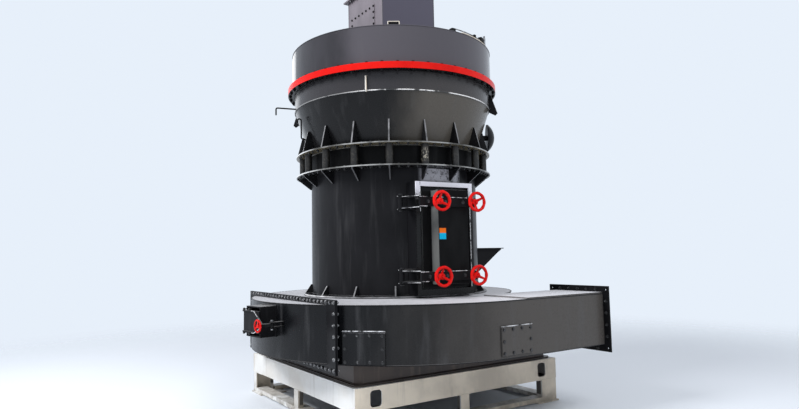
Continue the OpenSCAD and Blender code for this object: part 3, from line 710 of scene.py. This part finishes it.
# Painted shade: the neck shell between the flanges is near-black.
paint_nodes(black_and_shade, "neck_shell")
sleeve_az = [-105 + 20 * k for k in range(18)]
ring_bolts = np.array([around(1.045, az + s, 0) for az in sleeve_az for s in (5, 10, 15)])
bolt, nut = hex_bolt(0.026), hex_nut(0.026)
piece("ring_flange_bolts", painted_bolts,
      [set_out(shape, ring_bolts + (0, 0, z), (0, 0, s))
       for shape, z, s in ((bolt, 2.632, 1), (nut, 2.620, -1), (bolt, 2.411, 1), (nut, 2.399, -1))])
piece("ring_flange_welds", bronze, [round_seam(0.948, 2.4135, 0.005), round_seam(0.948, 2.618, 0.005),
                                    round_seam(0.936, 2.635, 0.006)])


# ---- Cone: rolled plate with a seam at its top that is pale in patches, two bent air pipes on its left, a
# short upright conduit and two lifting lugs. Its paint carries a painted sheen and a painted reflection.
def pale_patch_seam():
    """A weld, pale in patches, mostly on the front."""
    finish = Finish("pale_patch_seam")
    patch = finish.noise(7.0, 3.0, 0.6).between(0.38, 0.50)
    front = (finish.at(1) * -1.0 - finish.at(0) * 0.2).between(0.70, 1.0)
    tone = finish.mix(patch * (front * 0.8 + 0.2), (0.05, 0.05, 0.052), (0.92, 0.91, 0.90))
    return finish.shade(base_color=tone, roughness=0.35)


def pipe(corners, radius, bend, over):
    """A round bar or pipe along straight runs whose corners are rounded: near a corner the path is the square
    curve (1-t)^2 a + 2t(1-t) b + t^2 c, from bend before the corner to bend after it."""
    corners = [np.array(c, float) for c in corners]
    path = [corners[0]]
    for a, b, c in zip(corners, corners[1:], corners[2:]):
        start = b + (a - b) / np.linalg.norm(a - b) * bend
        end = b + (c - b) / np.linalg.norm(c - b) * bend
        t = np.linspace(0, 1, 7)[:, None]
        path += list((1 - t) ** 2 * start + 2 * t * (1 - t) * b + t ** 2 * end)
    path.append(corners[-1])
    angle = np.arange(12) * 2 * pi / 12
    return swept(path, radius * np.stack([np.cos(angle), np.sin(angle)], -1), over)


def radial_fin(outline, az, thick):
    """An upright plate in a plane through the mill axis, its outline shifted both ways."""
    flat = np.array([around(r, az, z) for r, z in outline])
    shift = around(thick / 2, az + 90, 0)
    return np.concatenate([flat - shift, flat + shift]), capped(2, len(flat))


# Painted sheen: brown-grey towards the right. Painted reflection: pale on what faces the rear left.
cone_black = enamel("cone_paint", (0.0055, 0.0053, 0.006), 0.18, 0.5, 0.25,
                    ((0.094, 0.085, 0.073), -0.66, -0.22), band=(3.133, (0.040, 0.038, 0.042)), edge_sheen=0.6)
paint_nodes(cone_black, "cone_shell")
piece("cone_seam", pale_patch_seam(), [round_seam(1.0975, 3.130, 0.0055, 0.02)])
piece("cone_welds", black, [round_seam(1.099, 3.317, 0.006),
                            bead([around(0.935, 65, 2.64), around(1.096, 65, 3.128)], 0.003)])
upper_pipe = [around(r, 163, z) for r, z in ((1.09, 3.150), (1.31, 3.155), (1.31, 3.075))]
lower_pipe = [around(r, 174, z) for r, z in ((1.125, 2.945), (1.125, 2.995), (1.085, 2.995),
                                             (1.085, 2.785), (0.975, 2.765))]
piece("cone_air_pipes", black, [pipe(upper_pipe, 0.008, 0.02, around(1, 163 + 90, 0)),
                                pipe(lower_pipe, 0.008, 0.018, around(1, 174 + 90, 0))])
conduit = [around(r, -136, z) for r, z in ((1.100, 3.122), (1.112, 3.135), (1.112, 3.272))]
piece("cone_conduit", frame_primer, [pipe(conduit, 0.009, 0.008, around(1, -136 + 90, 0))])
lug = [(1.095, 3.10), (1.165, 3.062), (1.190, 3.085), (1.120, 3.295), (1.095, 3.300)]
piece("lifting_lugs", black, [radial_fin(lug, az, 0.016) for az in (-44, 136)])


# ---- Domed cover on the cone: pressed from sheet, with a flat rim, drawn up by a nut on its stem and painted
# with the mill.
paint_nodes(black, "side_port")
cover_middle = np.array([0, 0, 2.845])
cover_way, cover_side = around(1, -35, 0), around(1, 55, 0)
angle = np.arange(48)[:, None] * 2 * pi / 48
brim = cover_middle + cover_way * 1.074 + 0.1455 * (np.cos(angle) * cover_side
                                                    + np.sin(angle) * np.array([0, 0, 1]))
stem_nut = turned([(0.024, 0, 0), (0.024, 0.006, 0), (0.019, 0.006, 1)])
piece("cover_brim", black, [bead(brim, 0.006, cover_way, True, 0.05),
                            set_out(stem_nut, [cover_middle + cover_way * 1.146], cover_way)])


# ---- Red ring flange between cone and casing: bright enamel, as on the handwheels, with a black underside.
# Bolts pass through it, with their nuts below.
def red_enamel(name, under, tones, gloss):
    """Signal red. Where under is 1, faces that look down are black. Where it is 0, faces that look away
    from the front and the left are painted darker as shade."""
    finish = Finish(name)
    cloud = finish.noise(3.0, 3.0)
    tone = finish.mix(cloud.between(0.3, 0.7), *tones)
    tone = finish.mix((-0.5 - finish.faces(2)).between(0.0, 0.3) * under, tone, (0.006, 0.006, 0.0065))
    # Painted shade: faces that look away from -X and -Y are darker red.
    x, y = finish.faces(0) * -1.0, finish.faces(1) * -1.0
    front = x.math("MAXIMUM", x, y).between(0.30, 0.88)
    tone = finish.mix((1.0 - front) * (1.0 - under), tone, (0.30, 0.003, 0.003))
    return finish.shade(base_color=tone, roughness=cloud * 0.12 + gloss, specular_ior_level=0.12,
                        normal=finish.bump(finish.noise(120.0), 0.0002, 0.3))


wheel_red = red_enamel("signal_red", 0.0, ((0.66, 0.006, 0.005), (0.86, 0.012, 0.009)), 0.10)
paint_nodes(red_enamel("ring_red", 1.0, ((0.60, 0.007, 0.005), (0.76, 0.011, 0.007)), 0.22), "red_ring")
paint_nodes(wheel_red, "upper_left_wheel", "upper_right_wheel", "lower_left_wheel",
            "lower_right_wheel", "inspection_wheel")
ring_under, ring_top = 3.319, 3.384
red_ring_bolts = np.array([around(1.148, az, 0) for az in np.arange(0, 360, 7.5)])
piece("red_ring_bolts", black, [set_out(hex_nut(0.032), red_ring_bolts + (0, 0, ring_under), (0, 0, -1)),
                                set_out(hex_bolt(0.032), red_ring_bolts + (0, 0, ring_top), (0, 0, 1))])


# ---- Classifier casing: a rolled shell and a flat lid in charcoal enamel, painted darker at the far left as
# shade. On the lid are two lifting eyes with plates, a pipe with valves, and a grease line that ends in an
# upright nipple.
def radial_plate(radius, az, wide, low, high, thick):
    """A flat upright plate across the radius: wide along the rim, thick along the radius."""
    way, side = around(1, az, 0), around(1, az + 90, 0)
    ring = np.array([way * (radius + t * thick / 2) + side * s * wide / 2
                     for s, t in rectangle(-1, 1, -1, 1)])
    return np.concatenate([ring + (0, 0, low), ring + (0, 0, high)]), capped(2, 4)


# Painted shade: darker left of X = -0.80, at the far left.
charcoal = enamel("casing_paint", (0.030, 0.028, 0.034), 0.04, 0.6, 0.38,
                  ((0.076, 0.070, 0.082), -1.02, -0.80))
paint_nodes(charcoal, "casing_shell", "casing_lid")
upright = bead([around(1.1225, 75, 3.39), around(1.1225, 75, 3.755)], 0.003, (1, 0, 0))
piece("casing_welds", charcoal, [round_seam(1.1215, 3.7605, 0.005), round_seam(1.124, 3.387, 0.006), upright])
lid_top = 3.762
eye_az = (-121.5, 58.5)
eyes = []
for az in eye_az:
    way, side = around(1, az, 0), around(1, az + 90, 0)
    loop = [way * 1.098 + side * u + (0, 0, lid_top + h)
            for u, h in ((-0.055, 0.002), (-0.055, 0.040), (0.055, 0.040), (0.055, 0.002))]
    eyes.append(pipe(loop, 0.005, 0.006, way))
    eyes.append(bead([loop[0] + way * 0.008, loop[3] + way * 0.008], 0.005))
piece("lifting_eyes", frame_primer, eyes)
piece("lifting_plates", black_and_shade, [radial_plate(1.098, az, 0.108, lid_top, 3.800, 0.006) for az in eye_az])
leaning = (0.3, 0.2, 1)
pipe_run = [around(1.09, -84, 3.764), *arc(0, 0, 3.775, 1.112, -82, -40, 0.03), around(1.112, -38, 3.764)]
piece("rim_pipe", frame_primer, [pipe(pipe_run, 0.0065, 0.01, leaning)])
valves = ((-60.5, 0.06, 3.845), (-88, 0.05, 3.800), (-70, 0.03, 3.82))
piece("rim_valve", black_and_shade,
      [radial_plate(1.085, az, wide, lid_top, top, 0.045) for az, wide, top in valves])
nipple_foot = around(1.11, -58, 3.80)
nipple = turned([(0.014, -0.055, 1), (0.014, 0.05, 1), (0.010, 0.055, 0), (0.010, 0.075, 0)])
grease_run = [around(1.09, -88, 3.76), *arc(0, 0, 3.805, 1.09, -88, -60, 0.03), nipple_foot]
piece("grease_line", zinc, [pipe(grease_run, 0.006, 0.01, leaning),
                            set_out(nipple, [nipple_foot], (0, 0, 1))])


# ---- Gas outlet: a square box of folded plate with an angle flange on top. Its left side, where a panel is
# bolted on, is painted pale as light.
plan = rectangle(-0.345, 0.345, -0.375, 0.375)
outlet_welds = [bead([(x, y, 3.765), (x, y, 4.515)], 0.004, (1, 0, 0)) for x, y in plan]
outlet_welds.append(bead([(x, y, 3.763) for x, y in plan], 0.006, looped=True))
# Painted light: pale on the left face and its panel, darker from X = -0.344 on.
outlet_lit_left = enamel("outlet_paint", (0.20, 0.175, 0.20), 0.25, 0.6, 0.4,
                  ((0.080, 0.074, 0.105), -0.345, -0.344))
paint_nodes(outlet_lit_left, "outlet_box")
piece("outlet_welds", charcoal, outlet_welds)
flange_nuts = np.insert(bolt_frame((-0.367, 0.367), (-0.397, 0.397), 7, 8, corners=False), 2, 4.52, axis=1)
piece("outlet_flange_bolts", zinc, [set_out(hex_nut(0.026), flange_nuts, (0, 0, -1))])
panel_face = -0.351
piece("outlet_panel", outlet_lit_left, [slab((panel_face, -0.215, 3.93), (-0.344, 0.300, 4.300))])
panel_bolts = bolt_frame((-0.198, 0.283), (3.948, 4.283), 7, 6)
piece("outlet_panel_bolts", black,
      [set_out(hex_bolt(0.022), np.insert(panel_bolts, 0, panel_face, axis=1), (-1, 0, 0))])


# ---- Feed hopper: an open chute of sheet that slopes down into the body, with a weld along the top of each
# cheek.
paint_nodes(black, "feed_hopper")
piece("hopper_welds", black, [bead([(0.90, s * 0.251, 1.30), (1.378, s * 0.251, 1.588)], 0.004, (0, s, 0))
                              for s in (-1, 1)])


# ---- Access door: a neck and a plate frame with pale painted reflections on their tops, a leaf with an
# insulated box, two straps that turn on hinge pins and four clamping screws with red handwheels. A small blank
# plate is fixed to the box.
def door_point(u, v, z):
    """u to the right along the door and v straight out from the mill axis, turned into the model's frame."""
    turn = radians(-95)
    u += 0.012
    return np.array([-u * sin(turn) + v * cos(turn), u * cos(turn) + v * sin(turn), z])


def door_bead(corners, radius, over, looped=False):
    return bead([door_point(*corner) for corner in corners], radius, over, looped)


facing = door_point(0, 1, 0) - door_point(0, 0, 0)
sideways = door_point(1, 0, 0) - door_point(0, 0, 0)


def frame_reflection_paint():
    """Black paint, and above a ragged line a pale bluish tone: a painted reflection."""
    finish = Finish("frame_reflection_paint")
    frame_noise = finish.noise(40.0, 4.0, 0.65)
    bare_and_sheen = (finish.at(2) + frame_noise * 0.14).between(2.13, 2.24)
    tone = finish.mix(frame_noise.between(0.35, 0.65), (0.006, 0.006, 0.0065), (0.009, 0.009, 0.0095))
    # Painted reflection: pale bluish above the ragged line.
    tone = finish.mix(bare_and_sheen, tone, (0.80, 0.80, 0.88))
    return finish.shade(base_color=tone, roughness=frame_noise * 0.15 + 0.2, specular_ior_level=0.25)


def door_paint():
    """Deep black; faces that look to -X, the hinge side, are grey."""
    finish = Finish("door_paint")
    hinge_side = (finish.faces(0) * -1.0).between(0.85, 0.97)
    cloud = finish.noise(4.0, 4.0, 0.6, finish.stretched(2.0, 2.0, 0.7))
    tone = finish.mix(cloud.between(0.3, 0.7), (0.006, 0.006, 0.0064), (0.0105, 0.0105, 0.011))
    tone = finish.mix(hinge_side * (cloud * 0.5 + 0.7), tone, (0.145, 0.148, 0.145))
    return finish.shade(base_color=tone, roughness=cloud * 0.15 + 0.32, specular_ior_level=0.05,
                        normal=finish.bump(finish.noise(150.0, 2.0), 0.0002, 0.2))


def neck_paint():
    """Black, with pale bluish patches on its top: a painted reflection."""
    finish = Finish("neck_paint")
    patch = finish.noise(6.0, 5.0, 0.6).between(0.36, 0.52)
    top = finish.faces(2).between(0.5, 0.9)
    # Painted reflection in patches on faces that look up.
    tone = finish.mix(patch * top, (0.0095, 0.0095, 0.011), (0.50, 0.50, 0.56))
    return finish.shade(base_color=tone, roughness=0.28, specular_ior_level=0.15)


def two_tone():
    """Two flat colours, one above the other, without any words."""
    finish = Finish("blank_plate")
    ragged = finish.at(2) + finish.noise(60.0) * 0.0006
    tone = finish.mix(ragged.between(1.7385, 1.7395), (0.0, 0.44, 0.72), (0.86, 0.16, 0.01))
    return finish.shade(base_color=tone, roughness=0.35, specular_ior_level=0.15)


def handwheel(place, d, length, turn):
    """A cast handwheel, d across, whose rim lies length out from place. The rim is a ring whose thickness is
    its mean times 1 + 0.07 cosine of nine times the angle. A spoke runs out from the hub to the rim and
    forward by the dish times s^2 (3 - 2 s), s from 0 at the hub to 1 at the rim, and gets slimmer by 1 - 0.4
    s."""
    over = np.array([0, 0, 1.0])
    reach, hub, dish = d * 0.4195, d * 0.08, d * 0.17
    angle = np.arange(90)[:, None] * 2 * pi / 90
    circle = np.arange(14) * 2 * pi / 14
    ring = np.stack([np.cos(circle), np.sin(circle)], -1)
    path = place + facing * length + reach * (np.cos(angle) * sideways + np.sin(angle) * over)
    grip = d * 0.075 * (1 + 0.07 * np.cos(9 * angle))
    shapes = [swept(path, grip[:, :, None] * ring, facing, True)]
    s = np.linspace(0, 1, 10)[:, None]
    for k in range(3):
        way = cos(radians(120 * k + turn)) * sideways - sin(radians(120 * k + turn)) * over
        path = place + way * (hub + s * (reach - hub)) + facing * (length - dish + dish * s * s * (3 - 2 * s))
        slim = (1 - 0.4 * s)[:, :, None] * ring
        shapes.append(swept(path, slim * (d * 0.078, d * 0.036), facing))
    rows = [(0.10, -0.27), (0.15, -0.25), (0.155, -0.12), (0.12, -0.09), (0.075, -0.085)]
    rows = [(d * r, length + d * h, 0) for r, h in rows] + [(d * 0.07, length - d * 0.085, 1),
                                                           (d * 0.07, length - d * 0.03, 1)]
    shapes.append(set_out(turned(rows, 24), [place], facing))
    return shapes


paint_nodes(black, "hinge_brackets", "door_straps")
paint_nodes(frame_reflection_paint(), "door_lip_frame")
paint_nodes(door_paint(), "door_panel")
paint_nodes(neck_paint(), "door_neck")
strap_levels = (1.335, 2.032)
strap_half, strap_face = 0.044, 1.202
clamp_u, hinge_u = 0.198, -0.472

rim = [(u, 1.007, z) for u, z in rectangle(-0.256, 0.256, 1.234, 2.143)]
piece("door_gasket", rubber, [door_bead(rim, 0.0065, facing, True)], "access_door")
raised = rectangle(-0.164, 0.164, 1.258, 2.149)
piece("door_box_seams", black, [door_bead([(u, v, z) for u, z in raised], size, facing, True)
                                for v, size in ((1.043, 0.006), (1.1795, 0.004))], "access_door")
piece("door_neck_welds", black, [door_bead([(u, 0.863, 1.16), (u, 0.863, 2.235)], 0.006, facing)
                                 for u in (-0.327, 0.327)])

strap_bolts = [door_point(u, strap_face, z) for z in strap_levels for u in (-0.29, -0.10, 0.10)]
piece("strap_bolts", painted_bolts, [set_out(hex_bolt(0.030), strap_bolts, facing)], "access_door")
gland = turned([(0.024, 0, 1), (0.024, 0.022, 1), (0.020, 0.026, 0), (0.0135, 0.026, 0)])
glands = [door_point(u, strap_face, z) for z in strap_levels for u in (-clamp_u, clamp_u)]
piece("screw_glands", painted_bolts, [set_out(gland, glands, facing)], "access_door")
pin_head = turned([(0.021, 0, 0), (0.021, 0.003, 0), (0.017, 0.003, 0), (0.017, 0.007, 0)])
piece("hinge_pin_heads", painted_bolts,
      [set_out(pin_head, [door_point(hinge_u, 1.0, z + s * 0.0762) for z in strap_levels], (0, 0, s))
       for s in (-1, 1)])

# Painted highlights along the forks, straps and hinge brackets, and down the lip frame's sides.
fork_edges, strap_edges, bracket_edges = [], [], []
edge_v = strap_face + 0.0005
for z in strap_levels:
    for s in (-1, 1):
        arm_z, eye_z, elbow_z = z + s * 0.053, z + s * 0.062, z + s * strap_half
        fork_edges.append(door_bead([(-0.478, 1.021, arm_z), (-0.386, 1.203, arm_z)], 0.0035, (0, 0, 1)))
        bracket_edges.append(door_bead([(-0.499, 0.984, eye_z), (-0.489, 0.978, eye_z)], 0.0035, (0, 0, 1)))
        fork_edges.append(door_bead([(-0.384, edge_v, elbow_z), (-0.30, edge_v, elbow_z)], 0.003, facing))
    for start, end in ((-0.165, -0.125), (-0.075, 0.15), (0.225, 0.248)):
        painted_light = [(start, edge_v, z + strap_half), (end, edge_v, z + strap_half)]
        strap_edges.append(door_bead(painted_light, 0.003, facing))
piece("strap_edges", edge_highlight, fork_edges + strap_edges, "access_door")
piece("bracket_edges", edge_highlight, bracket_edges)
piece("lip_edges", edge_highlight, [door_bead([(0.292, 1.041, 1.22), (0.292, 1.041, 2.235)], 0.0035, facing),
                               door_bead([(-0.280, 1.041, 1.95), (-0.280, 1.041, 2.235)], 0.003, facing)])

oiled = mottled("oiled_screw", (30.0, 3.0), 0.4, 0.65, (0.05, 0.05, 0.052), (0.32, 0.32, 0.33), 0.3, 0.7)
screw = turned([(0.011, 0, 0), (0.011, 0.19, 0)])
wheel_wide, rim_out = 0.2, 0.236
lower, upper = strap_levels
for name, u, z, turn in (("upper_left", -clamp_u, upper, 30), ("upper_right", clamp_u, upper, 90),
                         ("lower_left", -clamp_u, lower, 30), ("lower_right", clamp_u, lower, 30)):
    start = door_point(u, 1.061, z)
    wheel = piece(name + "_handwheel", wheel_red, handwheel(start, wheel_wide, rim_out, turn),
                  name + "_wheel")
    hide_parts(name + "_wheel")
    piece(name + "_screw", oiled, [set_out(screw, [start], facing)], name + "_wheel")

flat = np.array([door_point(u, 1.1802, z) for u, z in rectangle(-0.162, -0.088, 1.680, 1.785)])
piece("blank_plate", two_tone(), [(np.concatenate([flat, flat + facing * 0.002]), capped(2, 4))],
      "access_door", sharp=20)


# ---- Grinding ring, shaft, rollers and the classifier's rotor and beam: rough cast and welded steel, mottled
# grey, all seen only through the openings.
def cast_steel():
    finish = Finish("cast_steel")
    grain = finish.noise(45.0, 5.0, 0.65)
    tone = finish.mix(grain.between(0.35, 0.7), (0.10, 0.095, 0.09), (0.21, 0.20, 0.19))
    return finish.shade(base_color=tone, metallic=0.6, roughness=grain * 0.25 + 0.42,
                        normal=finish.bump(grain, 0.001, 0.6))


paint_nodes(cast_steel(), "grinding_ring", "main_shaft", "grinding_rollers", "classifier_rotor",
            "classifier_beam")

scene.view_settings.view_transform = "Standard"
